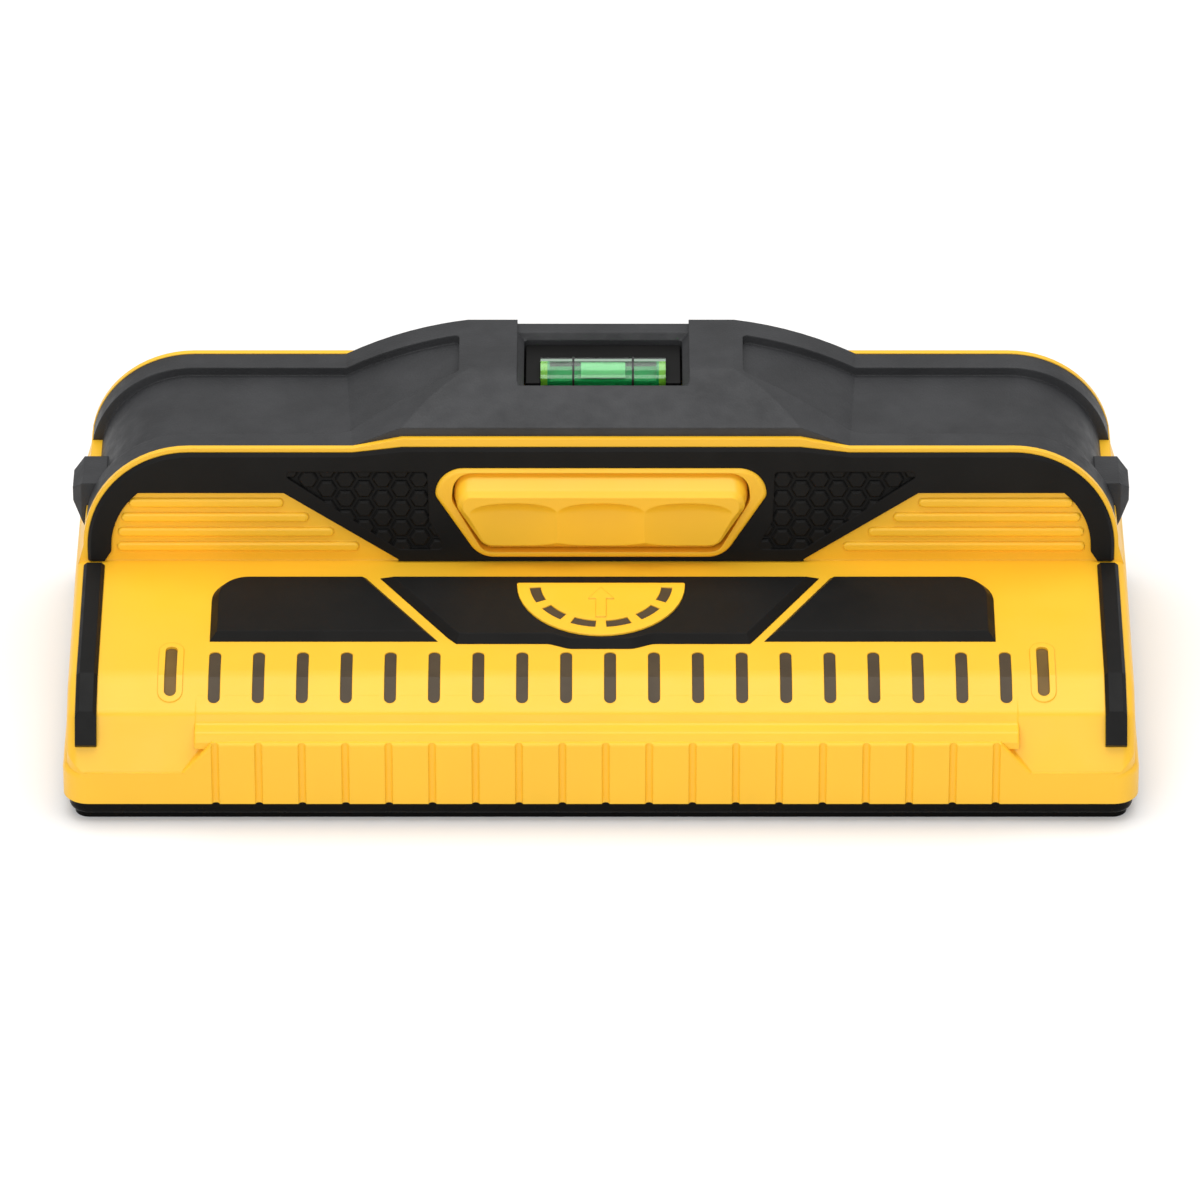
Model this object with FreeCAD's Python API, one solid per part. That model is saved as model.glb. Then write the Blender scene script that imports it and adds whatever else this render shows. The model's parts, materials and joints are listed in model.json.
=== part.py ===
"""Handheld wall scanner with a built-in level vial, as an assembly of separate pieces.

Frame: X along the tool, Y away from the user, Z up, origin under the middle of the base, millimetres.
The tool stands on its sensing face. Depths called "setback" run in +Y from the front edge of the skirt.
"""
import FreeCAD, Part
import math
import os

os.makedirs("parts", exist_ok=True)

# ---------------------------------------------------------------- driving dimensions
length = 248.6              # over the skirt, X
depth = 113.0               # over the skirt, Y
side_step = 1.0             # the body above the skirt is narrower by this on each side
plan_radius = 6.0           # corners of the skirt seen from above

pad_thick = 1.3             # glide pad under the base
plate_thick = 3.9           # base plate
plate_inset = 1.3           # base plate behind the skirt's edge
pad_inset = 2.6
skirt_height = 8.3          # plain part of the skirt, above the base plate
wall = 2.4                  # housing wall
front_wall = 3.8            # thicker wall that carries the bezel and the button
seat_gap = 0.05             # lenses and inlays in their seats
running_gap = 0.35          # pieces that move past each other

# ruler edge: a raised tab over the middle of the skirt, with a groove every centimetre
ruler_top = 21.4            # height of the tab
ruler_from, ruler_to = -89.6, 92.1
ruler_slant = 7.2           # the tab widens by this down to the plain skirt
ledge_from, ledge_to = -93.7, 96.3
groove_count = 19
groove_pitch = 10.0
groove_middle = 1.1         # the row of grooves is centred here
groove_radius = 0.9
groove_depth = 0.75

# sloping deck: (setback, height) of its bends
side_foot = (0.5, 13.5)     # bottom of the steep facet beside the ruler
facet_foot = (7.4, 25.3)
deck_bend = (17.0, 29.4)
deck_back = (62.05, 33.3)
deck_edge_radius = 3.0
bend_radius = 14.0          # soft bend across the windows
foot_radius = 3.0
ledge_radius = 1.0
skirt_edge_radius = 1.6

# handle: upright block across the back of the deck
wall_lean = 5.5             # degrees, front wall leans back
handle_top = 62.1
handle_radius = 25.0        # big corner of the handle seen from the front
handle_side = 121.3         # half width at the end of the corner
handle_back = 110.4         # setback of the rear wall
rim = 1.4                   # yellow rim left in front of and behind the grip, along Y
crest_height = 2.4          # the front rim rises by this in the middle
crest_half, crest_run = 46.5, 11.5

# grip over the handle
grip_thick = 4.0
grip_drop = 0.2             # grip below the rims
grip_end = 42.0             # lower end of the band on the handle's ends
channel_depth = 2.2         # hand channel between the two rails
channel_front, channel_back = 72.2, 102.6
pocket_end, pocket_front = 33.4, 85.7
hump_top = 71.3
hump_half = 31.5            # flat top
hump_foot = 62.0            # where the flanks meet the band
hump_slope_foot = (66.5, 66.6)
hump_slope_head = (86.5, 71.3)
side_pad_out = 124.1        # half width over the side pads
side_pad_from, side_pad_to = 72.6, 85.0
side_pad_low, side_pad_high = 36.5, 48.0
notch_depth = 1.1           # the window sits in a shallow notch across the hump

# vial window
window_x = 0.5
window_half = 18.6
window_front, window_back = 81.9, 104.0
window_bevel = 1.6
vial_radius = 4.5
vial_length = 29.4
vial_wall = 0.8
vial_setback, vial_height = 91.5, 66.0
vial_plug = 1.6             # length of each end cap inside the tube
ring_spacing = 14.0
ring_width = 0.5
bubble_length = 10.4
bubble_travel = 7.0         # each way
bubble_sink = 2.3           # depth of the bubble under the top of the bore

# front bezel and button
bezel_proud = 1.0
bezel_chamfer = 0.7
bezel_sunk = 0.9
bezel_rim = 1.0             # yellow left around the bezel
panel_top = 51.2            # ribbed yellow panels
panel_in_top, panel_in_bottom = 74.2, 47.5
panel_radius = 18.5         # rounded outer side, about the same centre as the handle's corner
hex_pitch = 5.0
hex_across = 4.1
hex_sunk = 1.0
hex_chamfer = 0.45
hex_first = (33.77, 34.45)  # centre of the lowest cell of the innermost column
rib_height = 0.9
rib_thick = 2.3
rib_count = 4
rib_pitch = 3.75
rib_highest = 48.3
surround_proud = 1.8
button_proud = 5.6
button_travel = 1.5
button_gap = 0.5
finger_pitch = 20.4
finger_top = 51.2           # upper end of the finger dips
finger_dip = 1.6

# deck inlays
pad_proud = 1.8
pad_sunk = 0.8
inlay_front, inlay_back = 30.2, 54.7
dial_radius = 19.6
dial_setback = 50.0
dial_proud = 2.2
dial_slot_in, dial_slot_out = 14.1, 16.7

# indicator windows
led_count = 19
led_pitch = 10.16
led_middle = 2.1
slot_width = 2.75
slot_front, slot_back = 9.9, 26.3
outer_slots = (-99.5, 102.2)
outer_front, outer_back = 11.6, 27.9
ring_grow, ring_rise = 1.5, 0.3     # raised ring round each outer window

# black strips on the two front corners
strip_in, strip_out = 116.3, 121.2
strip_proud = 1.4
strip_bevel = 0.8
strip_sunk = 1.2
strip_foot = 18.6           # lower end, height

# insides
board_thick = 1.6
board_height = 7.2          # underside of the main board
board_half = 107.0
board_front, board_back = 13.5, 60.0
led_size = (3.2, 2.8, 1.5)
boss_radius = 4.0
screw_radius = 1.5
screw_head = 3.1
cell_radius = 7.1
cell_length = 49.5
tray_half = 54.0
tray_low = 36.8
tray_wall = 1.4
tray_depth = 20.0
door_half = 52.0
door_low, door_high = 37.6, 53.6
door_thick = 1.8
door_gap = 0.4
pin_radius = 1.2
pin_length = 3.0
knuckle_radius = 2.0        # rounded lower edge of the door, about its hinge

# ---------------------------------------------------------------- places that follow
skirt_front = -depth / 2
half = length / 2
side_half = half - side_step
plate_top = pad_thick + plate_thick
skirt_top = plate_top + skirt_height
lean = math.tan(math.radians(wall_lean))
handle_rear = skirt_front + handle_back
corner_z = handle_top - handle_radius
bezel_foot = deck_back[1] + 0.3
core_top = handle_top - grip_thick      # top of the housing under the grip
tray_high = core_top - wall - tray_wall - seat_gap
low_z, high_z = -20.0, 120.0            # planes well clear of the tool, for cutting bodies
far = length


def at(setback):
    return skirt_front + setback


# ---------------------------------------------------------------- small helpers
def vec(x, y, z):
    return FreeCAD.Vector(x, y, z)


def box(x0, x1, y0, y1, z0, z1):
    return Part.makeBox(x1 - x0, y1 - y0, z1 - z0, vec(x0, y0, z0))


def corner_wire(corners, place):
    """Closed wire through (a, b) or (a, b, radius) corners; place turns (a, b) into a point."""
    flat = [FreeCAD.Vector(c[0], c[1], 0) for c in corners]
    radii = [c[2] if len(c) > 2 else 0 for c in corners]
    stretches = []
    for i, here in enumerate(flat):
        to_last = (flat[i - 1] - here).normalize()
        to_next = (flat[(i + 1) % len(flat)] - here).normalize()
        half_angle = to_last.getAngle(to_next) / 2
        if radii[i] == 0:
            stretches.append((here, here, here))
            continue
        cut_back = radii[i] / math.tan(half_angle)
        centre = here + (to_last + to_next).normalize() * (radii[i] / math.sin(half_angle))
        middle = centre + (here - centre).normalize() * radii[i]
        stretches.append((here + to_last * cut_back, middle, here + to_next * cut_back))
    edges = []
    for i, (start, middle, end) in enumerate(stretches):
        if (end - start).Length > 1e-6:
            points = [place(p.x, p.y) for p in (start, middle, end)]
            edges.append(Part.Arc(*points).toShape())
        following = stretches[(i + 1) % len(stretches)][0]
        if (following - end).Length > 1e-6:
            edges.append(Part.LineSegment(place(end.x, end.y), place(following.x, following.y)).toShape())
    return Part.Wire(edges)


def along_x(corners_yz, x0, x1):
    face = Part.Face(corner_wire(corners_yz, lambda a, b: vec(x0, a, b)))
    return face.extrude(vec(x1 - x0, 0, 0))


def along_y(corners_xz, y0, y1):
    face = Part.Face(corner_wire(corners_xz, lambda a, b: vec(a, y0, b)))
    return face.extrude(vec(0, y1 - y0, 0))


def along_z(corners_xy, z0, z1):
    face = Part.Face(corner_wire(corners_xy, lambda a, b: vec(a, b, z0)))
    return face.extrude(vec(0, 0, z1 - z0))


def rounded_block(x0, x1, y0, y1, z0, z1, radius):
    return along_z([(x0, y0, radius), (x1, y0, radius), (x1, y1, radius), (x0, y1, radius)], z0, z1)


def rod(radius, x0, x1, y, z):
    return Part.makeCylinder(radius, x1 - x0, vec(x0, y, z), vec(1, 0, 0))


def post(radius, x, y, z0, z1):
    return Part.makeCylinder(radius, z1 - z0, vec(x, y, z0))


def fuse(shapes):
    first, rest = shapes[0], shapes[1:]
    return first.multiFuse(rest).removeSplitter() if rest else first


def single(shape):
    """The one solid of a boolean result."""
    return shape.Solids[0] if len(shape.Solids) == 1 else shape


def mirror(shape):
    return shape.mirror(vec(0, 0, 0), vec(1, 0, 0))


def save(name, shape):
    solids = shape.Solids
    body = solids[0] if len(solids) == 1 else Part.makeCompound(solids)
    bounds = body.BoundBox
    print("%-20s %3d solids  valid %s  volume %9.1f  box %s" % (
        name, len(solids), body.isValid(), body.Volume,
        [round(v, 1) for v in (bounds.XMin, bounds.XMax, bounds.YMin, bounds.YMax, bounds.ZMin, bounds.ZMax)]))
    body.exportStep("parts/%s.step" % name)


# ---------------------------------------------------------------- surfaces of the housing
def deck_line(lift):
    """(y, z) bends of the deck, raised by lift."""
    return [(at(s), z + lift) for s, z in (side_foot, facet_foot, deck_bend, deck_back)]


def deck_height(y):
    """Height of the deck behind its bend."""
    rise = (deck_back[1] - deck_bend[1]) / (deck_back[0] - deck_bend[0])
    return deck_bend[1] + (y - at(deck_bend[0])) * rise


def deck_height_below(y):
    """Height of the deck anywhere, between its bends."""
    line = deck_line(0)
    for (y0, z0), (y1, z1) in zip(line, line[1:]):
        if y <= y1:
            return z0 + (y - y0) * (z1 - z0) / (y1 - y0)
    return line[-1][1]


def deck_slab(low, high):
    """Layer between two heights over the deck, across the whole tool."""
    lower, upper = deck_line(low), deck_line(high)
    return along_x(lower + upper[::-1], -far / 2, far / 2)


def deck_piece(outline, low, high):
    """Piece with this (x, setback) outline, between two heights over the deck."""
    corners = [(c[0], at(c[1])) + tuple(c[2:]) for c in outline]
    return single(along_z(corners, low_z, high_z).common(deck_slab(low, high)))


def wall_y(z, out):
    """y of the handle's front wall at height z, moved outward by out."""
    return at(deck_back[0]) + (z - deck_back[1]) * lean - out / math.cos(math.radians(wall_lean))


def out_of_wall(x, z, distance):
    """Point over (x, z) of the front wall, at this distance out from it."""
    lean_angle = math.radians(wall_lean)
    return vec(x, wall_y(z, 0) - distance * math.cos(lean_angle), z + distance * math.sin(lean_angle))


def wall_slab(inner, outer):
    return along_x([(wall_y(z, out), z) for z, out in
                    ((low_z, inner), (low_z, outer), (high_z, outer), (high_z, inner))], -far / 2, far / 2)


def wall_piece(outline, inner, outer):
    """Piece with this (x, z) outline, between two distances out from the front wall."""
    return single(along_y(outline, -depth, depth).common(wall_slab(inner, outer)))


def handle_outline(inset, bottom, crest=0.0):
    """Front outline of the handle, moved inward, with an optional raised middle."""
    side = handle_side - inset
    top = handle_top - inset
    radius = handle_radius - inset
    foot = side_half - inset
    right = [(foot, bottom), (foot, min(30.0, corner_z - 4)), (side, corner_z - 0.01),
             (side, top, radius)]
    if crest:
        right += [(crest_half + crest_run, top), (crest_half, top + crest)]
    left = [(-c[0],) + tuple(c[1:]) for c in reversed(right)]
    return right + left


def behind_wall(inner, back):
    """Everything between the front wall's plane, moved in by inner, and y = back."""
    return along_x([(wall_y(low_z, -inner), low_z), (wall_y(high_z, -inner), high_z),
                    (back, high_z), (back, low_z)], -far / 2, far / 2)


def ruler_outline(bottom):
    return [(ruler_from - ruler_slant, skirt_top), (ruler_from, ruler_top), (ruler_to, ruler_top),
            (ruler_to + ruler_slant, skirt_top), (ruler_to + ruler_slant, bottom),
            (ruler_from - ruler_slant, bottom)]


# ---------------------------------------------------------------- main shell
def boss_places():
    return [(sx * (side_half - 9.3), y) for sx in (-1, 1) for y in (at(13.0), handle_rear - 5.6)] + \
           [(sx * 40.0, handle_rear - 5.6) for sx in (-1, 1)]


def deck_solid():
    foot, facet, bend, back = deck_line(0)
    profile = [(skirt_front, plate_top), (skirt_front, skirt_top), foot, facet + (foot_radius,),
               bend + (bend_radius,), back, (handle_rear, deck_back[1]), (handle_rear, plate_top)]
    block = along_x(profile, -side_half, side_half)
    edges = []
    for edge in block.Edges:
        centre = edge.CenterOfMass
        on_end = abs(abs(centre.x) - side_half) < 1e-4 and edge.BoundBox.XLength < 1e-4
        if on_end and centre.z > skirt_top + 1 and centre.y < at(deck_back[0]) and edge.BoundBox.YLength > 1:
            edges.append(edge)
    block = block.makeFillet(deck_edge_radius, edges)
    plan = rounded_block(-side_half, side_half, skirt_front, handle_rear, low_z, high_z, plan_radius)
    return block.common(plan)


def outer_body():
    skirt = rounded_block(-half, half, -depth / 2, depth / 2, plate_top, skirt_top, plan_radius)
    top_edges = [e for e in skirt.Edges if abs(e.BoundBox.ZMin - skirt_top) < 1e-4]
    skirt = skirt.makeFillet(skirt_edge_radius, top_edges)
    ruler = along_y(ruler_outline(plate_top + 2), skirt_front, at(facet_foot[0] + 2))
    front_top = [e for e in ruler.Edges if abs(e.CenterOfMass.y - skirt_front) < 1e-4
                 and e.CenterOfMass.z > skirt_top + 0.1]
    ruler = ruler.makeFillet(ledge_radius * 0.7, front_top)
    ledge = along_x([(at(1.2), ruler_top - 2), (at(1.2), ruler_top - 0.3), (at(2.6), ruler_top + 1.6, ledge_radius),
                     (at(6.0), ruler_top + 1.9, 1.2), (at(7.4), facet_foot[1] + 0.2, 2.0),
                     (at(12.0), facet_foot[1] + 2.0), (at(12.0), ruler_top - 2)], ledge_from, ledge_to)
    ledge_ends = [e for e in ledge.Edges if e.BoundBox.XLength < 1e-4 and e.CenterOfMass.z > ruler_top + 0.4
                  and e.CenterOfMass.y < at(7.0)]
    ledge = ledge.makeFillet(0.5, ledge_ends)
    handle = along_y(handle_outline(0, 20.0, crest_height), -depth, handle_rear)
    rear_cut = box(-far, far, at(handle_back) - 8, at(handle_back) + 1, handle_top, high_z)
    handle = handle.common(behind_wall(0, handle_rear)).cut(rear_cut)
    return fuse([skirt, deck_solid(), ruler, ledge, handle])


def inner_space():
    """Hollow of the housing, open at the bottom."""
    inside = side_half - wall
    low_profile = [(at(wall + 0.6), low_z), (at(wall + 0.6), 11.0), (at(10.4), 23.3),
                   (at(17.6), deck_bend[1] - wall), (at(deck_back[0]) + front_wall, deck_back[1] - wall),
                   (handle_rear - wall, deck_back[1] - wall), (handle_rear - wall, low_z)]
    low = along_x(low_profile, -inside, inside)
    plan = rounded_block(-inside, inside, at(wall), handle_rear - wall, low_z, high_z, plan_radius - wall)
    tall = along_y(handle_outline(grip_thick + wall, 20.0), -depth, depth)
    tall = tall.common(behind_wall(front_wall, handle_rear - wall))
    return low.common(plan).fuse(tall)


def grip_zone():
    """Space of the grip band between the two rims, outside the handle's core."""
    zone = behind_wall(rim, handle_rear - rim).common(box(-far, far, -far, far, grip_end, high_z))
    return zone.cut(along_y(handle_outline(grip_thick, -10.0), -depth, depth))


def bezel_outline():
    top = handle_top - bezel_rim
    side = handle_side - bezel_rim
    radius = handle_radius - bezel_rim
    right = [(side, bezel_foot), (side, top, radius), (crest_half + crest_run, top),
             (crest_half, top + crest_height - bezel_rim)]
    return right + [(-c[0],) + tuple(c[1:]) for c in reversed(right)]


def panel_prism():
    """Space of the ribbed yellow panel that the bezel leaves open, on the +X side."""
    side = handle_side - handle_radius + panel_radius
    high = corner_z + panel_radius
    block = along_y([(panel_in_bottom, low_z), (panel_in_bottom, 34.1), (panel_in_top, panel_top),
                     (panel_in_top, high), (side, high, panel_radius), (side, corner_z - 1),
                     (side + 1.8, deck_back[1]), (side + 1.8, low_z)], -depth, depth)
    return single(block.common(box(0, far, -depth, depth, low_z, panel_top)))


def panel_ribs():
    """Rounded ribs across the +X panel, each as long as the panel is there."""
    ribs = []
    for i in range(rib_count):
        z = rib_highest - i * rib_pitch
        up = (z - 34.1) / (panel_top - 34.1)
        inner = panel_in_bottom + (panel_in_top - panel_in_bottom) * up + 4.6
        outer = handle_side - handle_radius + panel_radius - 1.4 - 5.2 * up ** 3
        low, high, radius = z - rib_thick / 2, z + rib_thick / 2, rib_thick * 0.47
        rib = wall_piece([(inner, low, radius), (outer, low, radius), (outer, high, radius),
                          (inner, high, radius)], -0.5, rib_height)
        front = [e for e in rib.Edges if abs(e.CenterOfMass.y - wall_y(e.CenterOfMass.z, rib_height)) < 0.02]
        ribs.append(rib.makeFillet(rib_height * 0.7, front))
    return ribs


def surround_outline(shrink):
    """Rounded outline of the button's surround, on the wall, moved inward by shrink."""
    wide, low_wide = 38.8 - shrink, 28.6 - shrink
    top, bottom = 57.6 - 0.75 * shrink, 34.7 + 0.6 * shrink
    corner = max(6.6 - shrink, 2.0)
    right = [(low_wide, bottom, corner), (wide, 50.6, corner * 0.4), (wide - 0.8, top, corner)]
    return right + [(-c[0],) + tuple(c[1:]) for c in reversed(right)]


def button_outline(shrink):
    wide, low_wide = 34.4 - shrink, 27.0 - shrink
    top, bottom = 56.2 - shrink, 36.9 + shrink
    right = [(low_wide, bottom, 3.4), (wide, 49.8, 3.4), (wide - 0.6, top, 4.6)]
    return right + [(-c[0],) + tuple(c[1:]) for c in reversed(right)]


def button_face_outline(shrink):
    """Outline of the button's front face, which is lower and smaller than its root."""
    right = [(27.4 - shrink, 39.2 + shrink, 3.4 - shrink), (33.6 - shrink, 49.0, 2.0),
             (33.0 - shrink, 53.2 - shrink, 3.0 - shrink)]
    return right + [(-c[0],) + tuple(c[1:]) for c in reversed(right)]


def left_inlay():
    return [(-90.8, inlay_front), (-90.8, inlay_back, 8.6), (-54.9, inlay_back), (-37.9, inlay_front)]


def right_inlay():
    return [(91.6, inlay_front), (91.6, inlay_back, 8.6), (53.6, inlay_back), (37.9, inlay_front)]


def centre_inlay():
    return [(-51.6, inlay_back), (-35.6, 31.6), (-33.6, 29.3), (-12.0, 29.3, 4.0),
            (-7.5, 27.4, 5.0), (7.5, 27.4, 5.0), (12.0, 29.3, 4.0), (34.6, 29.3),
            (35.8, 31.0), (51.0, inlay_back)]


def slot_outline(x, front, back, grow):
    width = slot_width / 2 + grow
    radius = width - 0.01
    return [(x - width, front - grow, radius), (x + width, front - grow, radius),
            (x + width, back + grow, radius), (x - width, back + grow, radius)]


def led_places():
    return [led_middle + (i - (led_count - 1) / 2) * led_pitch for i in range(led_count)]


def groove_places():
    return [groove_middle + (i - (groove_count - 1) / 2) * groove_pitch for i in range(groove_count)]


def strip_path(low, high):
    """(y, z) outline of a corner strip, between two distances over the deck."""
    steep = (facet_foot[1] - side_foot[1]) / (facet_foot[0] - side_foot[0])
    foot_setback = side_foot[0] + (strip_foot - side_foot[1]) / steep
    line = [(foot_setback, strip_foot), facet_foot, deck_bend, (deck_back[0] - 2.3, deck_back[1] - 0.2)]
    lower = [(at(s + (0.8 if i < 2 else 0.2) * -low), z + low * 0.8) for i, (s, z) in enumerate(line)]
    upper = [(at(s - (0.8 if i < 2 else 0.2) * high), z + high * 0.8) for i, (s, z) in enumerate(line)]
    return lower + upper[::-1]


def strip_solid(low, high):
    return along_x(strip_path(low, high), strip_in, strip_out)


def make_corner_strip():
    strip = strip_solid(-strip_sunk, strip_proud)
    top = [e for e in strip.Edges if e.BoundBox.XLength < 1e-4 and e.Length > 8 and
           e.CenterOfMass.z > deck_height_below(e.CenterOfMass.y)]
    return strip.makeChamfer(strip_bevel, top)


def make_main_shell():
    shell = outer_body().cut(inner_space()).cut(grip_zone())
    grooves = [Part.makeCylinder(groove_radius, ruler_top + 4, vec(x, skirt_front + groove_depth
               - groove_radius, plate_top - 1)) for x in groove_places()]
    shell = shell.cut(grooves)
    bosses = []
    for x, y in boss_places():
        top = deck_bend[1] - wall - 1 if y < 0 else 30.0
        bosses.append(post(boss_radius, x, y, plate_top, top))
    shell = shell.multiFuse(bosses)
    posts = [wall_piece([(x - 2.5, 43.5), (x + 2.5, 43.5), (x + 2.5, 48.5), (x - 2.5, 48.5)],
                        switch_board_out, -front_wall + 0.5) for x in (-44.0, 44.0)]
    shell = shell.multiFuse(posts)
    for x, y in boss_places():
        shell = shell.cut(post(screw_radius + seat_gap, x, y, plate_top - 1, 19.0))
    # ribbed panels stand between the bezel's openings; the bezel, button and inlays are let in
    bezel_seat = wall_piece(bezel_outline(), -bezel_sunk, 10)
    bezel_seat = bezel_seat.cut([panel_prism(), mirror(panel_prism())])
    shell = shell.cut(bezel_seat)
    ribs = panel_ribs()
    shell = shell.multiFuse(ribs + [mirror(rib) for rib in ribs])
    shell = shell.cut(wall_piece(button_outline(-button_gap), -20, 20))
    for outline in (left_inlay(), centre_inlay(), right_inlay()):
        shell = shell.cut(deck_piece(outline, -pad_sunk, 8))
    shell = shell.multiFuse([deck_piece(slot_outline(x, outer_front, outer_back, ring_grow), -0.5, ring_rise)
                             for x in outer_slots])
    slots = [deck_piece(slot_outline(x, slot_front, slot_back, 0), -12, 8) for x in led_places()]
    slots += [deck_piece(slot_outline(x, outer_front, outer_back, 0), -12, 8) for x in outer_slots]
    shell = shell.cut(slots)
    strip_seat = strip_solid(-strip_sunk, 6)
    shell = shell.cut([strip_seat, mirror(strip_seat)])
    door_hole = box(-door_half - door_gap, door_half + door_gap, handle_rear - wall - 1, handle_rear + 1,
                    door_low - door_gap, door_high + door_gap)
    shell = shell.cut(door_hole)
    shell = shell.multiFuse(hinge_lugs(0))
    shell = shell.cut(rod(pin_radius + seat_gap, -door_half - pin_length - 0.3,
                          door_half + pin_length + 0.3, hinge_y, hinge_z))
    return shell.removeSplitter()


# ---------------------------------------------------------------- base
def make_base_plate():
    plate = rounded_block(-half + plate_inset, half - plate_inset, at(plate_inset), -at(plate_inset),
                          pad_thick, plate_top, plan_radius - plate_inset)
    lower = [e for e in plate.Edges if abs(e.BoundBox.ZMax - pad_thick) < 1e-4]
    plate = plate.makeFillet(1.6, lower)
    rib = box(-board_half + 3, board_half - 3, at(board_front + 22), at(board_front + 24),
              plate_top - 0.5, board_height)
    stands = [post(2.6, x, at(s), plate_top - 0.5, board_height) for x, s in board_screw_places()]
    plate = plate.multiFuse(stands + [rib])
    for x, y in boss_places():
        plate = plate.cut([post(screw_radius + seat_gap, x, y, -1, plate_top + 1),
                           post(screw_head + 0.2, x, y, -1, pad_thick + 2.0)])
    for x, s in board_screw_places():
        plate = plate.cut(post(1.05, x, at(s), plate_top - 2.4, board_height + 1))
    return plate


def make_glide_pad():
    pad = rounded_block(-half + pad_inset, half - pad_inset, at(pad_inset), -at(pad_inset),
                        0, pad_thick, plan_radius - pad_inset)
    return pad.cut([post(screw_head + 0.4, x, y, -1, pad_thick + 1) for x, y in boss_places()])


def make_base_screws():
    screws = []
    for x, y in boss_places():
        seat = pad_thick + 2.0
        head = post(screw_head, x, y, pad_thick + 0.3, seat)
        cross = box(x - 1.8, x + 1.8, y - 0.35, y + 0.35, pad_thick, pad_thick + 1.1)
        cross = cross.fuse(box(x - 0.35, x + 0.35, y - 1.8, y + 1.8, pad_thick, pad_thick + 1.1))
        screws.append(fuse([head, post(screw_radius, x, y, seat - 0.2, 17.5)]).cut(cross))
    return Part.makeCompound(screws)


# ---------------------------------------------------------------- grip and side pads
def hump_wire(setback, foot, middle_x, middle_z, shoulder, drop):
    y = at(setback)
    low = 50.0
    points = []
    for sx in (1, -1):
        points.append((vec(sx * foot, y, low), vec(sx * foot, y, handle_top - 1.0 - drop),
                       vec(sx * middle_x, y, middle_z - drop), vec(sx * shoulder, y, hump_top - drop)))
    (a0, a1, a2, a3), (b0, b1, b2, b3) = points
    edges = [Part.LineSegment(a0, a1), Part.Arc(a1, a2, a3), Part.LineSegment(a3, b3),
             Part.Arc(b3, b2, b1), Part.LineSegment(b1, b0), Part.LineSegment(b0, a0)]
    return Part.Wire([e.toShape() for e in edges])


def hump_solid(drop):
    front = hump_wire(60.0, hump_foot - 2.5, 44.5, 67.2, hump_half - 1.5, drop)
    back = hump_wire(handle_back, hump_foot, 46.5, 67.9, hump_half, drop)
    return Part.makeLoft([front, back], True, True)


def channel_zone():
    """Plan of the hand channel, which narrows into a pocket on each flank of the hump."""
    corner = 1.6
    zone = along_z([(-far, at(channel_front)), (-hump_foot + 1.0, at(channel_front), 9.0),
                    (-pocket_end, at(pocket_front), corner), (-pocket_end, at(channel_back), corner),
                    (-far, at(channel_back))], grip_end - 1, high_z)
    return zone.fuse(mirror(zone))


def hump_foot_point():
    return (at(hump_slope_foot[0]), hump_slope_foot[1], 0.5)


def make_top_grip():
    inner = handle_outline(grip_drop + channel_depth, -10.0)
    band = along_y(handle_outline(grip_drop, -10.0), -depth, depth)
    slope = along_x([(at(60.0), 40.0), (at(60.0), hump_slope_foot[1] - 0.8),
                     (at(hump_slope_foot[0]) - 0.6, hump_slope_foot[1] - 0.8, 0.5), hump_foot_point(),
                     (at(hump_slope_head[0]), hump_slope_head[1], 8.0), (handle_rear, hump_top),
                     (handle_rear, 40.0)], -far / 2, far / 2)
    zone = behind_wall(rim, handle_rear - rim).common(box(-far, far, -far, far, grip_end, high_z))
    body = band.fuse(hump_solid(0).common(slope)).common(zone)
    floor_level = along_y(inner, -depth, depth).fuse(hump_solid(channel_depth))
    body = body.cut(channel_zone().cut(floor_level))
    body = body.cut(along_y(handle_outline(grip_thick, -10.0), -depth, depth))
    x0, x1 = window_x - window_half, window_x + window_half
    y0, y1 = at(window_front), at(window_back)
    g = window_bevel
    low, high = hump_top - notch_depth - 1.6, hump_top - notch_depth
    body = body.cut(rounded_block(x0, x1, y0, y1, 40, high_z, 1.0))
    body = body.cut(box(x0 - g, x1 + g, y0 - g, handle_rear + 1, high, high_z))
    lower_rim = Part.makePolygon([vec(x0, y0, low), vec(x1, y0, low), vec(x1, y1, low),
                                  vec(x0, y1, low), vec(x0, y0, low)])
    upper_rim = Part.makePolygon([vec(x0 - g, y0 - g, high), vec(x1 + g, y0 - g, high),
                                  vec(x1 + g, y1 + g / 2, high), vec(x0 - g, y1 + g / 2, high),
                                  vec(x0 - g, y0 - g, high)])
    return body.cut(Part.makeLoft([lower_rim, upper_rim], True, True))


def make_side_pad(sign):
    """Chamfered bump beside the hand channel, half on the band and half on the housing."""
    out, low, high = side_pad_out, side_pad_low, side_pad_high
    front, back = at(side_pad_from), at(side_pad_to)
    pad = along_z([(100, front), (out - 2.0, front), (out, front + 1.6), (out, back - 3),
                   (out - 2.5, back), (100, back)], low, high)
    profile = [(100, low), (out - 2.6, low), (out, low + 6.0), (out, high - 2.0), (out - 2.4, high), (100, high)]
    on_band = along_y(handle_outline(grip_drop + channel_depth, -10.0), -depth, depth)
    on_housing = along_y(handle_outline(0, -10.0), -depth, depth).common(
        box(-far, far, -far, far, -far, grip_end))
    pad = single(pad.common(along_y(profile, -depth, depth)).cut(on_band).cut(on_housing))
    return pad if sign > 0 else mirror(pad)


# ---------------------------------------------------------------- vial
vial_y, vial_z = at(vial_setback), vial_height
vial_x0, vial_x1 = window_x - vial_length / 2, window_x + vial_length / 2
bore_radius = vial_radius - vial_wall


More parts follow.
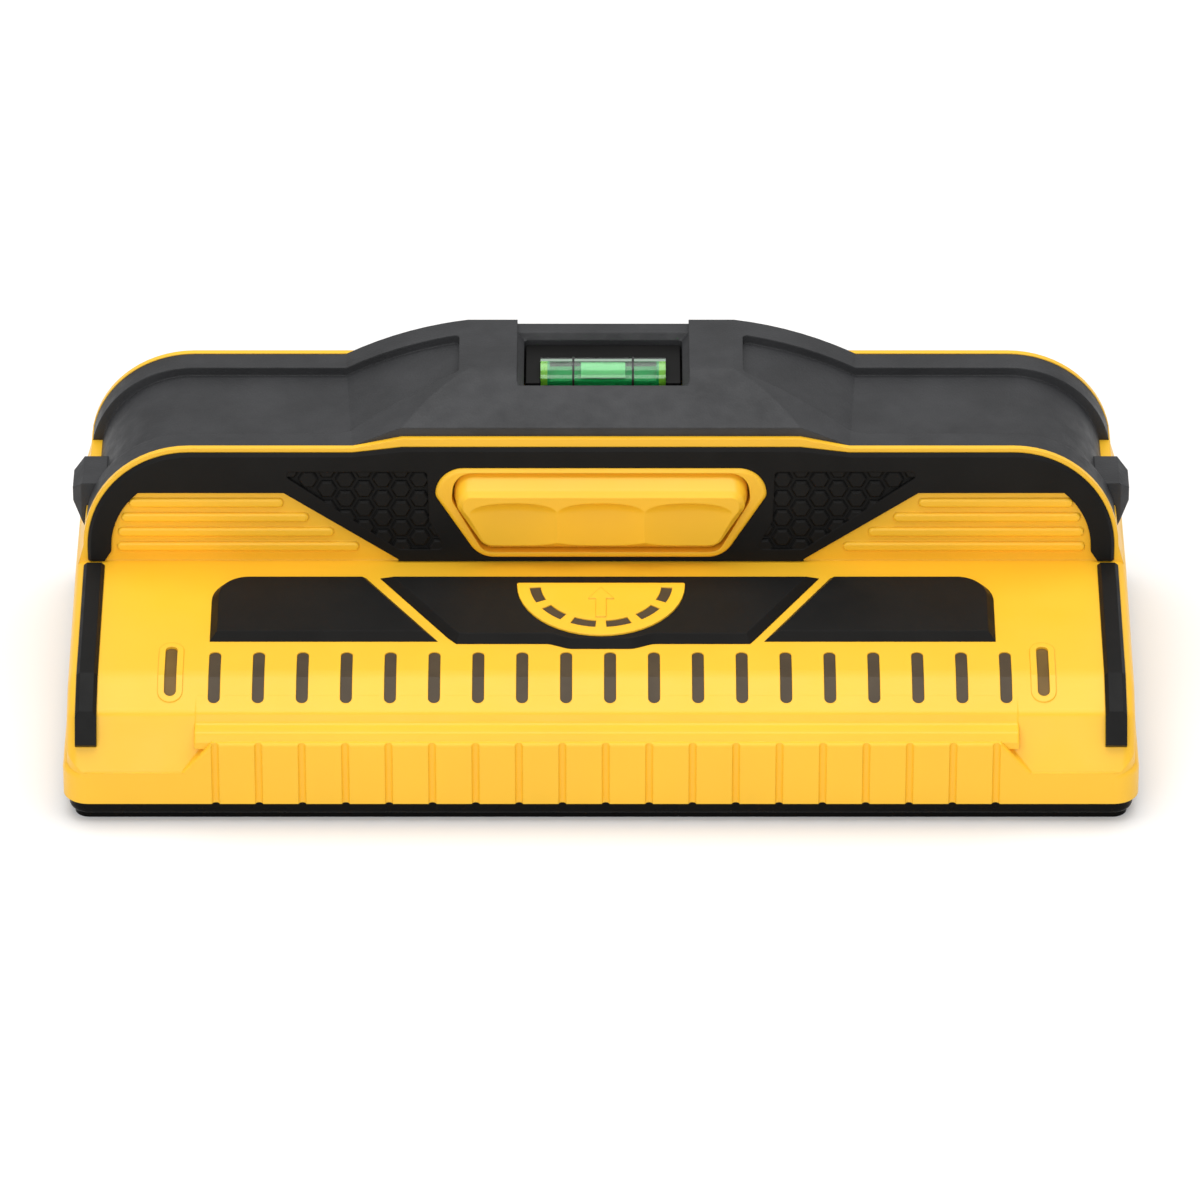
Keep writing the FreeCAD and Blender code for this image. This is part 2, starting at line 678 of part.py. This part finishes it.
def make_vial_cradle():
    gap = 0.15
    x0, x1 = window_x - window_half + gap, window_x + window_half - gap
    y0, y1 = at(window_front) + gap, at(window_back) - gap
    tray = rounded_block(x0, x1, y0, y1, core_top, vial_z - 2.0, 0.9)
    shelf = box(x0 + 0.3, x1 - 0.3, at(97.2), y1 - 0.3, core_top + 1, vial_z + 1.4)
    cheeks = [box(x0 + 0.3, vial_x0 - 0.1, at(86.0), at(97.4), core_top + 1, vial_z + 1.4),
              box(vial_x1 + 0.1, x1 - 0.3, at(86.0), at(97.4), core_top + 1, vial_z + 1.4)]
    body = fuse([tray, shelf] + cheeks)
    return body.cut(rod(vial_radius + seat_gap, vial_x0 - 0.1, vial_x1 + 0.1, vial_y, vial_z))


def make_vial_tube():
    tube = rod(vial_radius, vial_x0, vial_x1, vial_y, vial_z)
    return tube.cut(rod(bore_radius, vial_x0 - 1, vial_x1 + 1, vial_y, vial_z))


def make_vial_caps():
    radius = bore_radius - seat_gap
    return Part.makeCompound([rod(radius, vial_x0, vial_x0 + vial_plug, vial_y, vial_z),
                              rod(radius, vial_x1 - vial_plug, vial_x1, vial_y, vial_z)])


def bubble_section(grow):
    """Lens-shaped cap at the top of the bore, along the whole vial, grown by grow."""
    radius = bore_radius - seat_gap - running_gap + grow
    across = rod(radius, vial_x0, vial_x1, vial_y, vial_z)
    return across.common(box(-far, far, -far, far, vial_z + bore_radius - bubble_sink - grow, high_z))


def make_vial_liquid():
    liquid = rod(bore_radius - seat_gap, vial_x0 + vial_plug, vial_x1 - vial_plug, vial_y, vial_z)
    reach = bubble_length / 2 + bubble_travel + running_gap
    channel = bubble_section(running_gap + 0.2).common(
        box(window_x - reach, window_x + reach, -far, far, 0, high_z))
    return liquid.cut(channel)


def make_vial_bubble():
    reach = bubble_length / 2
    return bubble_section(0).common(rounded_block(
        window_x - reach, window_x + reach, vial_y - 8, vial_y + 8, 0, high_z, 2.4))


def make_vial_rings():
    rings = []
    for sx in (-1, 1):
        x = window_x + sx * ring_spacing / 2
        ring = rod(vial_radius + 0.12, x - ring_width / 2, x + ring_width / 2, vial_y, vial_z)
        ring = ring.cut(rod(vial_radius, x - 1, x + 1, vial_y, vial_z))
        rings.append(ring.common(box(-far, far, -far, far, vial_z - 1.9, high_z)))
    return Part.makeCompound(rings)


# ---------------------------------------------------------------- bezel, surround, button
def hexagon(x, z, across):
    r = across / math.sqrt(3)
    return [(x + r * math.cos(math.radians(60 * k)), z + r * math.sin(math.radians(60 * k)))
            for k in range(6)]


def hex_zone_outline():
    return [(75.6, 56.6, 1.0), (40.6, 56.6, 1.0), (40.2, 44.0, 1.0), (36.4, 36.6, 1.0), (47.4, 36.6, 1.0)]


def make_hex_cells():
    """Chamfered hexagons standing in the +X texture pocket."""
    column = hex_pitch * math.sqrt(3) / 2
    keep = wall_piece(hex_zone_outline(), -10, 10)
    top = bezel_proud - 0.1
    cells = []
    for i in range(11):
        for j in range(5):
            x = hex_first[0] + i * column
            z = hex_first[1] + (j + 0.5 * (i % 2)) * hex_pitch
            cell = wall_piece(hexagon(x, z, hex_across), bezel_proud - hex_sunk, top)
            front = [e for e in cell.Edges if abs(e.CenterOfMass.y - wall_y(e.CenterOfMass.z, top)) < 0.02]
            cell = cell.makeChamfer(hex_chamfer, front).common(keep)
            if cell.Volume > 0.8:
                cells.append(cell)
    return cells


def make_front_bezel():
    bezel = wall_piece(bezel_outline(), -bezel_sunk, bezel_proud)
    front = [e for e in bezel.Edges if abs(e.CenterOfMass.y - wall_y(e.CenterOfMass.z, bezel_proud)) < 0.02
             and e.CenterOfMass.z > bezel_foot + 0.1]
    bezel = bezel.makeChamfer(bezel_chamfer, front)
    bezel = bezel.cut([panel_prism(), mirror(panel_prism())])
    bezel = bezel.cut(wall_piece(surround_outline(-seat_gap), -20, 20))
    pocket = wall_piece(hex_zone_outline(), bezel_proud - hex_sunk, 10)
    pocket = pocket.cut(make_hex_cells())
    return bezel.cut([pocket, mirror(pocket)])


def make_button_surround():
    ring = wall_piece(surround_outline(0), -bezel_sunk, surround_proud)
    front = [e for e in ring.Edges if abs(e.CenterOfMass.y - wall_y(e.CenterOfMass.z, surround_proud)) < 0.02]
    ring = ring.makeFillet(1.1, front)
    return ring.cut(wall_piece(button_outline(-button_gap), -20, 20))


def finger_scoop(x):
    """Upright cylinder with a rounded top, which dips into the button's face."""
    radius = (finger_pitch ** 2 / 4 + finger_dip ** 2) / (2 * finger_dip)
    direction = out_of_wall(0, 1, 0) - out_of_wall(0, 0, 0)
    start = out_of_wall(x, finger_top, button_proud + radius - finger_dip)
    length_down = 40
    scoop = Part.makeCylinder(radius, length_down, start - direction * length_down, direction)
    rim_edge = [e for e in scoop.Edges if e.BoundBox.XLength > radius and e.CenterOfMass.z > finger_top - 5]
    return scoop.makeFillet(3.2, rim_edge)


def make_power_button():
    stem = wall_piece(button_outline(0), -front_wall - 0.6, 0.4)
    root = corner_wire(button_outline(0.05), lambda x, z: out_of_wall(x, z, 0.4))
    shoulder = corner_wire(button_face_outline(0), lambda x, z: out_of_wall(x, z, button_proud - 1.2))
    face = corner_wire(button_face_outline(1.2), lambda x, z: out_of_wall(x, z, button_proud))
    head = fuse([Part.makeLoft([root, shoulder], True, True), Part.makeLoft([shoulder, face], True, True)])
    head = head.cut([finger_scoop(i * finger_pitch) for i in (-1, 0, 1)])
    flange = wall_piece(button_outline(-2.0), -front_wall - 2.2, -front_wall - running_gap)
    flange = flange.common(box(-far, far, -far, far, 0, core_top - wall - running_gap))
    return fuse([head, stem, flange])


switch_board_out = -front_wall - 9.6


def wall_post(radius, x, z, inner, outer):
    direction = out_of_wall(x, z, 1) - out_of_wall(x, z, 0)
    return Part.makeCylinder(radius, outer - inner, out_of_wall(x, z, inner), direction)


def make_switch_plunger():
    return wall_post(1.7, 0, 46, -front_wall - 6.0, -front_wall - 2.2)


def make_button_switch():
    housing = wall_piece([(-6, 40), (6, 40), (6, 52), (-6, 52)], switch_board_out, -front_wall - 4.4)
    return housing.cut(wall_post(1.7 + running_gap, 0, 46, -front_wall - 8.6, -front_wall))


def make_switch_board():
    return wall_piece([(-48, 38.5, 1), (48, 38.5, 1), (48, 53.5, 1), (-48, 53.5, 1)],
                      switch_board_out - board_thick, switch_board_out)


# ---------------------------------------------------------------- deck inlays
def inlay(outline):
    body = deck_piece(outline, -pad_sunk, pad_proud)
    top = [e for e in body.Edges if e.CenterOfMass.z > deck_height(e.CenterOfMass.y) + pad_proud - 0.02]
    return body.makeChamfer(pad_proud - 0.1, top)


def dial_outline(shrink):
    """Half disc with rounded top corners, as an (x, setback) outline."""
    r = dial_radius - shrink
    top = dial_setback - shrink
    steps = 24
    curve = [(r * math.cos(math.radians(a)), dial_setback - 0.6 - r * math.sin(math.radians(a)))
             for a in [180.0 * k / steps for k in range(1, steps)]]
    return [(r, dial_setback - 0.6)] + curve + [(-r, dial_setback - 0.6), (-r, top, 0.55), (r, top, 0.55)]


def dial_slots(grow):
    centre = (0, at(dial_setback - 0.5))
    outer = Part.makeCylinder(dial_slot_out + grow, 60, vec(centre[0], centre[1], 0))
    arc_band = outer.cut(Part.makeCylinder(dial_slot_in - grow, 60, vec(centre[0], centre[1], 0)))
    pieces = []
    for k in range(6):
        middle = -(15 + 30 * k)
        spread = 10.5 + math.degrees(grow / dial_slot_in)
        a, b = math.radians(middle - spread), math.radians(middle + spread)
        wedge = along_z([centre, (centre[0] + 30 * math.cos(a), centre[1] + 30 * math.sin(a)),
                         (centre[0] + 30 * math.cos(b), centre[1] + 30 * math.sin(b))], 0, 60)
        pieces.append(arc_band.common(wedge))
    return pieces


def make_centre_pad():
    return inlay(centre_inlay()).cut(deck_piece(dial_outline(-seat_gap), pad_proud - 1.2, 8))


def make_dial_insert():
    dial = deck_piece(dial_outline(0), pad_proud - 1.2, dial_proud)
    groove = deck_piece(dial_outline(1.3), dial_proud - 0.35, 8).cut(
        deck_piece(dial_outline(1.9), -5, 9))
    dial = dial.cut(groove)
    dial = dial.cut(dial_slots(0))
    pointer = deck_piece([(-1.2, 36.5), (1.2, 36.5), (1.2, 43.6), (3.0, 43.6), (0, 48.0), (-3.0, 43.6),
                          (-1.2, 43.6)], dial_proud - 0.5, dial_proud + 0.3)
    return dial.fuse(pointer).removeSplitter()


def make_dial_windows():
    layer = deck_slab(pad_proud - 1.2, dial_proud - 0.25)
    return Part.makeCompound([piece.common(layer).Solids[0] for piece in dial_slots(-seat_gap)])


# ---------------------------------------------------------------- indicator windows and strips
def make_led_windows():
    lenses = [deck_piece(slot_outline(x, slot_front, slot_back, -seat_gap), -wall - 0.9, -0.25)
              for x in led_places()]
    legs = [box(x - 1.1, x + 1.1, at(15.0), at(19.0), board_top + led_size[2] + 0.4, 27.0)
            for x in led_places()]
    first, last = led_places()[0], led_places()[-1]
    bar = box(first - 3, last + 3, at(15.4), at(18.6), 22.6, 24.4)
    return fuse([bar] + legs + lenses)


def make_outer_windows():
    lenses = []
    for x in outer_slots:
        lens = deck_piece(slot_outline(x, outer_front, outer_back, -seat_gap), -wall - 0.9, -0.25)
        leg = box(x - 1.1, x + 1.1, at(15.0), at(19.0), board_top + led_size[2] + 0.4, 27.0)
        lenses.append(fuse([lens, leg]))
    return Part.makeCompound(lenses)


# ---------------------------------------------------------------- electronics
board_top = board_height + board_thick


def board_screw_places():
    return [(x, s) for x in (-84.0, 0.0, 84.0) for s in (27.0, 54.0)]


def make_main_board():
    board = rounded_block(-board_half, board_half, at(board_front), at(board_back),
                          board_height, board_top, 1.5)
    holes = [post(1.3, x, at(s), 0, 20) for x, s in board_screw_places()]
    return board.cut(holes)


def make_board_screws():
    screws = []
    for x, s in board_screw_places():
        head = post(2.2, x, at(s), board_top, board_top + 1.3)
        screws.append(head.fuse(post(1.0, x, at(s), plate_top - 2.0, board_top + 0.3)))
    return Part.makeCompound(screws)


def make_leds():
    w, d, h = led_size
    chips = []
    for x in led_places() + list(outer_slots):
        base = box(x - w / 2, x + w / 2, at(17.0) - d / 2, at(17.0) + d / 2, board_top, board_top + h * 0.6)
        dome = post(1.1, x, at(17.0), board_top + h * 0.5, board_top + h)
        chips.append(base.fuse(dome))
    return Part.makeCompound(chips)


def make_sensor_plates():
    count = 13
    pitch = 15.6
    plates = []
    for i in range(count):
        x = (i - (count - 1) / 2) * pitch
        for front, back in ((15.5, 34.5), (38.5, 58.0)):
            plate = box(x - 6.6, x + 6.6, at(front), at(back), board_height - 0.3, board_height)
            for sx, s in board_screw_places():
                plate = plate.cut(post(3.0, sx, at(s), 0, 20))
            plates.append(plate)
    return Part.makeCompound(plates)


def make_board_chips():
    chips = [box(x - 5, x + 5, at(40) - 5, at(40) + 5, board_top, board_top + 1.6) for x in (-60, 0, 60)]
    chips += [post(3.0, x, at(50), board_top, board_top + 8) for x in (-30, 30)]
    chips += [box(x - 1.6, x + 1.6, at(34) - 0.8, at(34) + 0.8, board_top, board_top + 0.9)
              for x in range(-95, 96, 19)]
    return Part.makeCompound(chips)


def make_buzzer():
    can = post(6.0, -95, at(46), board_top, board_top + 5.5)
    return can.cut(post(1.2, -95, at(46), board_top + 4, board_top + 7))


# ---------------------------------------------------------------- battery bay
cell_y = handle_rear - wall - cell_radius - 1.2
cell_z = (tray_low + tray_high) / 2
hinge_y = handle_rear - knuckle_radius
hinge_z = door_low + knuckle_radius


def hinge_lugs(clearance):
    """Blocks on the housing, beside the door's ends, that carry its pins."""
    reach = knuckle_radius + 0.6 + clearance
    lug = box(door_half + door_gap - clearance, door_half + pin_length + 1.0 + clearance,
              hinge_y - reach, handle_rear - 0.4, hinge_z - reach, hinge_z + reach)
    return [lug, mirror(lug)]


def make_battery_tray():
    tray = box(-tray_half - tray_wall, tray_half + tray_wall, handle_rear - wall - tray_depth,
               handle_rear - wall, tray_low - tray_wall, tray_high + tray_wall)
    room = box(-tray_half, tray_half, handle_rear - wall - tray_depth + tray_wall, handle_rear,
               tray_low, tray_high)
    return tray.cut(room).cut(hinge_lugs(seat_gap))


def make_batteries():
    cells = []
    for sx in (-1, 1):
        start = 1.3 if sx > 0 else -1.3 - cell_length
        cell = rod(cell_radius, start, start + cell_length - 1.2, cell_y, cell_z)
        nipple = rod(2.6, start + cell_length - 1.3, start + cell_length, cell_y, cell_z)
        cells.append(cell.fuse(nipple).removeSplitter())
    return Part.makeCompound(cells)


def make_battery_contacts():
    left = box(-tray_half, -tray_half + 0.5, cell_y - 6, cell_y + 6, tray_low + 2, tray_high - 2)
    right = box(tray_half - 0.5, tray_half, cell_y - 6, cell_y + 6, tray_low + 2, tray_high - 2)
    coil_end = -1.3 - cell_length
    coil = Part.makeCone(4.2, 2.4, coil_end + tray_half - 0.5, vec(-tray_half + 0.5, cell_y, cell_z),
                         vec(1, 0, 0))
    stud = rod(2.6, 1.3 + cell_length, tray_half - 0.5, cell_y, cell_z)
    middle = rod(2.6, -1.3, 0.1, cell_y, cell_z).fuse(rod(4.0, 0.1, 1.3, cell_y, cell_z))
    return Part.makeCompound([fuse([left, coil]), fuse([right, stud]), middle])


def make_battery_door():
    door = box(-door_half, door_half, handle_rear - door_thick, handle_rear, hinge_z, door_high)
    ridges = [box(x - 0.6, x + 0.6, handle_rear - 0.5, handle_rear + 1, door_high - 7, door_high - 2)
              for x in (-6, -3, 0, 3, 6)]
    knuckle = rod(knuckle_radius, -door_half, door_half, hinge_y, hinge_z)
    pins = rod(pin_radius, -door_half - pin_length, door_half + pin_length, hinge_y, hinge_z)
    return fuse([door.cut(ridges), knuckle, pins])


# ---------------------------------------------------------------- write every piece
save("main_shell", make_main_shell())
save("base_plate", make_base_plate())
save("glide_pad", make_glide_pad())
save("base_screws", make_base_screws())
save("top_grip", make_top_grip())
save("side_pad_left", make_side_pad(-1))
save("side_pad_right", make_side_pad(1))
save("vial_cradle", make_vial_cradle())
save("vial_tube", make_vial_tube())
save("vial_end_caps", make_vial_caps())
save("vial_liquid", make_vial_liquid())
save("vial_bubble", make_vial_bubble())
save("vial_rings", make_vial_rings())
save("front_bezel", make_front_bezel())
save("button_surround", make_button_surround())
save("power_button", make_power_button())
save("switch_plunger", make_switch_plunger())
save("button_switch", make_button_switch())
save("switch_board", make_switch_board())
save("deck_pad_left", inlay(left_inlay()))
save("deck_pad_right", inlay(right_inlay()))
save("deck_pad_centre", make_centre_pad())
save("dial_insert", make_dial_insert())
save("dial_windows", make_dial_windows())
save("led_windows", make_led_windows())
save("outer_windows", make_outer_windows())
save("corner_strip_right", make_corner_strip())
save("corner_strip_left", mirror(make_corner_strip()))
save("main_board", make_main_board())
save("board_screws", make_board_screws())
save("leds", make_leds())
save("sensor_plates", make_sensor_plates())
save("board_chips", make_board_chips())
save("buzzer", make_buzzer())
save("battery_tray", make_battery_tray())
save("batteries", make_batteries())
save("battery_contacts", make_battery_contacts())
save("battery_door", make_battery_door())
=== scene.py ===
"""Looks of the handheld wall scanner: materials, floor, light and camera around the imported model.

Everything is in metres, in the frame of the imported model: X along the tool, Y away from the user, Z up.
"""
import bpy
import json
import math
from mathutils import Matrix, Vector

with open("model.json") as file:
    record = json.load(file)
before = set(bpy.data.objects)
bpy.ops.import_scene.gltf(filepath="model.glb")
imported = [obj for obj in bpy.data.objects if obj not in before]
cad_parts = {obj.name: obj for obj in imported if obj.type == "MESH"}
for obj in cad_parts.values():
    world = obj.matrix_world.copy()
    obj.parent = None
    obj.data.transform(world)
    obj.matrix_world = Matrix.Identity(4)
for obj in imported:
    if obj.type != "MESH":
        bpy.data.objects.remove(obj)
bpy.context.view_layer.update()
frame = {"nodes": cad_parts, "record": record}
nodes = frame["nodes"]

MM = 0.001


# ---------------------------------------------------------------- node helpers
class Shader:
    """A material with one Principled shader and a few shorthand calls for its nodes."""

    def __init__(self, name, color, roughness, **settings):
        self.material = bpy.data.materials.new(name)
        self.material.use_nodes = True
        self.tree = self.material.node_tree
        self.tree.nodes.clear()
        self.output = self.add("ShaderNodeOutputMaterial")
        self.bsdf = self.add("ShaderNodeBsdfPrincipled")
        self.link(self.bsdf.outputs["BSDF"], self.output.inputs["Surface"])
        self.bsdf.inputs["Base Color"].default_value = (*color, 1)
        self.bsdf.inputs["Roughness"].default_value = roughness
        for key, value in settings.items():
            self.bsdf.inputs[key.replace("_", " ")].default_value = value
        self.coords = self.add("ShaderNodeTexCoord").outputs["Object"]
        self.normal = None

    def add(self, kind, **values):
        node = self.tree.nodes.new(kind)
        for key, value in values.items():
            if key in node.inputs.keys():
                node.inputs[key].default_value = value
            else:
                setattr(node, key, value)
        return node

    def link(self, output, socket):
        self.tree.links.new(output, socket)

    def noise(self, size, detail):
        """Noise whose grains are about this many millimetres across."""
        node = self.add("ShaderNodeTexNoise", Detail=detail)
        node.inputs["Scale"].default_value = 1 / (size * MM)
        self.link(self.coords, node.inputs["Vector"])
        return node.outputs["Fac"]

    def cells(self, size):
        """Rounded cells that are about this many millimetres across."""
        node = self.add("ShaderNodeTexVoronoi", feature="SMOOTH_F1")
        node.inputs["Scale"].default_value = 1 / (size * MM)
        self.link(self.coords, node.inputs["Vector"])
        return node.outputs["Distance"]

    def ramp(self, value, low, high, start=0.0, end=1.0):
        """Maps value from start..end to low..high, which may be numbers or colours."""
        if isinstance(low, (int, float)):
            node = self.add("ShaderNodeMapRange")
            node.inputs["From Min"].default_value = start
            node.inputs["From Max"].default_value = end
            node.inputs["To Min"].default_value = low
            node.inputs["To Max"].default_value = high
            self.link(value, node.inputs["Value"])
            return node.outputs["Result"]
        node = self.add("ShaderNodeValToRGB")
        node.color_ramp.elements[0].position = start
        node.color_ramp.elements[0].color = (*low, 1)
        node.color_ramp.elements[1].position = end
        node.color_ramp.elements[1].color = (*high, 1)
        self.link(value, node.inputs["Fac"])
        return node.outputs["Color"]

    def color(self, value, low, high, start=0.35, end=0.65):
        self.link(self.ramp(value, low, high, start, end), self.bsdf.inputs["Base Color"])

    def gloss(self, value, low, high, start=0.35, end=0.65):
        self.link(self.ramp(value, low, high, start, end), self.bsdf.inputs["Roughness"])

    def bump(self, value, height):
        """Raises the surface by up to height millimetres where value is 1."""
        node = self.add("ShaderNodeBump")
        node.inputs["Distance"].default_value = height * MM
        self.link(value, node.inputs["Height"])
        if self.normal is not None:
            self.link(self.normal, node.inputs["Normal"])
        self.normal = node.outputs["Normal"]
        self.link(self.normal, self.bsdf.inputs["Normal"])

    def soft_edges(self, radius):
        """Rounds the look of sharp edges by this many millimetres."""
        node = self.add("ShaderNodeBevel", samples=6)
        node.inputs["Radius"].default_value = radius * MM
        self.normal = node.outputs["Normal"]
        self.link(self.normal, self.bsdf.inputs["Normal"])


def tint(color, factor):
    """The colour made lighter or darker, with no channel past 1."""
    return tuple(min(1.0, c * factor) for c in color)


# ---------------------------------------------------------------- materials
YELLOW = (0.97, 0.54, 0.026)
BLACK = (0.009, 0.0088, 0.0085)
# Near-black of the base plate and glide pad, set darker than BLACK as painted shade for the shade under
# the tool
BASE_BLACK_AND_SHADE = (0.003, 0.0028, 0.0025)
RUBBER = (0.027, 0.0275, 0.0295)


def moulded_yellow(name):
    s = Shader(name, YELLOW, 0.36, Specular_IOR_Level=0.42)
    s.soft_edges(0.35)
    s.color(s.noise(38, 3), tint(YELLOW, 0.97), tint(YELLOW, 1.02))
    s.gloss(s.noise(9, 4), 0.33, 0.41)
    s.bump(s.noise(0.45, 2), 0.006)
    return s.material


def satin_black(name, roughness=0.38, grain=0.35, color=BLACK, shine=0.3):
    s = Shader(name, color, roughness, Specular_IOR_Level=shine)
    s.soft_edges(0.3)
    s.color(s.noise(20, 3), tint(color, 0.9), tint(color, 1.15))
    s.gloss(s.noise(6, 4), roughness - 0.05, roughness + 0.06)
    s.bump(s.noise(grain, 2), 0.012)
    return s.material


def grained_rubber(name):
    s = Shader(name, RUBBER, 0.55, Specular_IOR_Level=0.4)
    s.soft_edges(0.5)
    s.color(s.noise(14, 4), tint(RUBBER, 0.85), tint(RUBBER, 1.2))
    s.gloss(s.noise(4, 4), 0.48, 0.62)
    s.bump(s.cells(0.55), 0.05)
    return s.material


def plain(name, color, roughness, **settings):
    s = Shader(name, color, roughness, **settings)
    s.color(s.noise(8, 3), tint(color, 0.9), tint(color, 1.1))
    s.bump(s.noise(0.5, 2), 0.01)
    return s.material


def clear(name, color, roughness=0.02, ior=1.49, transmission=1.0):
    return Shader(name, color, roughness, Transmission_Weight=transmission, IOR=ior).material


MATERIALS = {
    "shell_yellow": moulded_yellow("shell_yellow"),
    "button_yellow": moulded_yellow("button_yellow"),
    # base_black and glide_black use the darker base black, which holds painted shade
    "base_black": satin_black("base_black", 0.3, color=BASE_BLACK_AND_SHADE, shine=0.08),
    "glide_black": satin_black("glide_black", 0.3, color=BASE_BLACK_AND_SHADE, shine=0.08),
    "screw_steel": plain("screw_steel", (0.45, 0.46, 0.47), 0.35, Metallic=1.0),
    "grip_rubber": grained_rubber("grip_rubber"),
    "trim_black": satin_black("trim_black", 0.42, shine=0.1),
    "deck_black": satin_black("deck_black", 0.45, 0.3, shine=0.1),
    "vial_acrylic": clear("vial_acrylic", (0.75, 1.0, 0.8)),
    "cap_green": plain("cap_green", (0.35, 0.6, 0.05), 0.25),
    "vial_green": clear("vial_green", (0.03, 0.56, 0.20), 0.12, 1.42, 0.35),
    "bubble_clear": clear("bubble_clear", (0.42, 0.95, 0.52), 0.08, 1.2, 0.2),
    "ring_black": plain("ring_black", (0.01, 0.01, 0.01), 0.3),
    "switch_black": plain("switch_black", (0.02, 0.02, 0.02), 0.45),
    "lens_smoke": plain("lens_smoke", (0.075, 0.054, 0.032), 0.35, Specular_IOR_Level=0.15),
    "lens_amber": plain("lens_amber", (0.16, 0.095, 0.026), 0.35, Specular_IOR_Level=0.15),
    "board_green": plain("board_green", (0.01, 0.12, 0.03), 0.35),
    "led_white": plain("led_white", (0.8, 0.8, 0.65), 0.3),
    "copper": plain("copper", (0.8, 0.42, 0.2), 0.3, Metallic=1.0),
    "cell_jacket": plain("cell_jacket", (0.07, 0.075, 0.085), 0.3),
    "contact_steel": plain("contact_steel", (0.7, 0.69, 0.66), 0.25, Metallic=1.0),
}


def dress_cad_nodes():
    for part in frame["record"]["subparts"]:
        piece = nodes[part["node"]]
        piece.data.materials.clear()
        piece.data.materials.append(MATERIALS[part["material_slot"]])


dress_cad_nodes()


# ---------------------------------------------------------------- floor, light and camera
CAMERA_RISE = math.radians(31.6)
CAMERA_DISTANCE = 2.412
CAMERA_LENS = 308.4
TARGET = Vector((-0.00023, 0.00119, 0.025))
FLOOR_HALF = 3.0
FLOOR_WHITE = 0.86
FLOOR_GLOW = 0.10       # seen directly, in reflections and through clear pieces only
SKY_LIGHT = 0.55
SKY_SEEN = 1.0


def make_floor():
    half = FLOOR_HALF
    mesh = bpy.data.meshes.new("floor")
    mesh.from_pydata([(-half, -half, 0), (half, -half, 0), (half, half, 0), (-half, half, 0)], [],
                     [(0, 1, 2, 3)])
    floor = bpy.data.objects.new("floor", mesh)
    bpy.context.scene.collection.objects.link(floor)
    s = Shader("floor_white", (FLOOR_WHITE,) * 3, 0.9, Specular_IOR_Level=0.0)
    rays = s.add("ShaderNodeLightPath")
    glow = s.add("ShaderNodeEmission")
    glow.inputs["Color"].default_value = (1, 1, 1, 1)
    seen = s.add("ShaderNodeMath", operation="MAXIMUM")
    s.link(rays.outputs["Is Camera Ray"], seen.inputs[0])
    s.link(rays.outputs["Is Glossy Ray"], seen.inputs[1])
    seen_through = s.add("ShaderNodeMath", operation="MAXIMUM")
    s.link(seen.outputs[0], seen_through.inputs[0])
    s.link(rays.outputs["Is Transmission Ray"], seen_through.inputs[1])
    level = s.add("ShaderNodeMath", operation="MULTIPLY")
    level.inputs[1].default_value = FLOOR_GLOW
    s.link(seen_through.outputs[0], level.inputs[0])
    s.link(level.outputs[0], glow.inputs["Strength"])
    both = s.add("ShaderNodeAddShader")
    s.link(s.bsdf.outputs[0], both.inputs[0])
    s.link(glow.outputs[0], both.inputs[1])
    s.link(both.outputs[0], s.output.inputs["Surface"])
    mesh.materials.append(s.material)


def soft_lamp(name, location, aim, size, watts):
    data = bpy.data.lights.new(name, "AREA")
    data.shape = "RECTANGLE"
    data.size, data.size_y = size
    data.energy = watts
    lamp = bpy.data.objects.new(name, data)
    lamp.location = location
    lamp.rotation_euler = (Vector(aim) - Vector(location)).to_track_quat("-Z", "Y").to_euler()
    bpy.context.scene.collection.objects.link(lamp)


def light_scene():
    soft_lamp("top_box", (0.0, 0.15, 1.3), (0, 0, 0), (1.6, 1.2), 14)
    soft_lamp("front_box", (-0.3, -1.5, 0.8), (0, 0, 0.03), (1.4, 0.9), 8.5)
    world = bpy.data.worlds.new("studio")
    world.use_nodes = True
    tree = world.node_tree
    tree.nodes.clear()
    output = tree.nodes.new("ShaderNodeOutputWorld")
    plain_sky = tree.nodes.new("ShaderNodeBackground")
    plain_sky.inputs["Color"].default_value = (1, 1, 1, 1)
    plain_sky.inputs["Strength"].default_value = SKY_LIGHT
    seen_sky = tree.nodes.new("ShaderNodeBackground")
    seen_sky.inputs["Color"].default_value = (1, 1, 1, 1)
    seen_sky.inputs["Strength"].default_value = SKY_SEEN
    rays = tree.nodes.new("ShaderNodeLightPath")
    mix = tree.nodes.new("ShaderNodeMixShader")
    tree.links.new(rays.outputs["Is Camera Ray"], mix.inputs["Fac"])
    tree.links.new(plain_sky.outputs[0], mix.inputs[1])
    tree.links.new(seen_sky.outputs[0], mix.inputs[2])
    tree.links.new(mix.outputs[0], output.inputs["Surface"])
    bpy.context.scene.world = world


def place_camera():
    data = bpy.data.cameras.new("camera")
    data.sensor_width = 36.0
    data.lens = CAMERA_LENS
    data.clip_end = 20.0
    camera = bpy.data.objects.new("camera", data)
    back = Vector((0, -math.cos(CAMERA_RISE), math.sin(CAMERA_RISE)))
    camera.location = TARGET + back * CAMERA_DISTANCE
    camera.rotation_euler = (math.pi / 2 - CAMERA_RISE, 0, 0)
    bpy.context.scene.collection.objects.link(camera)
    bpy.context.scene.camera = camera


make_floor()
light_scene()
place_camera()
bpy.context.scene.view_settings.view_transform = "Standard"

bpy.context.view_layer.update()
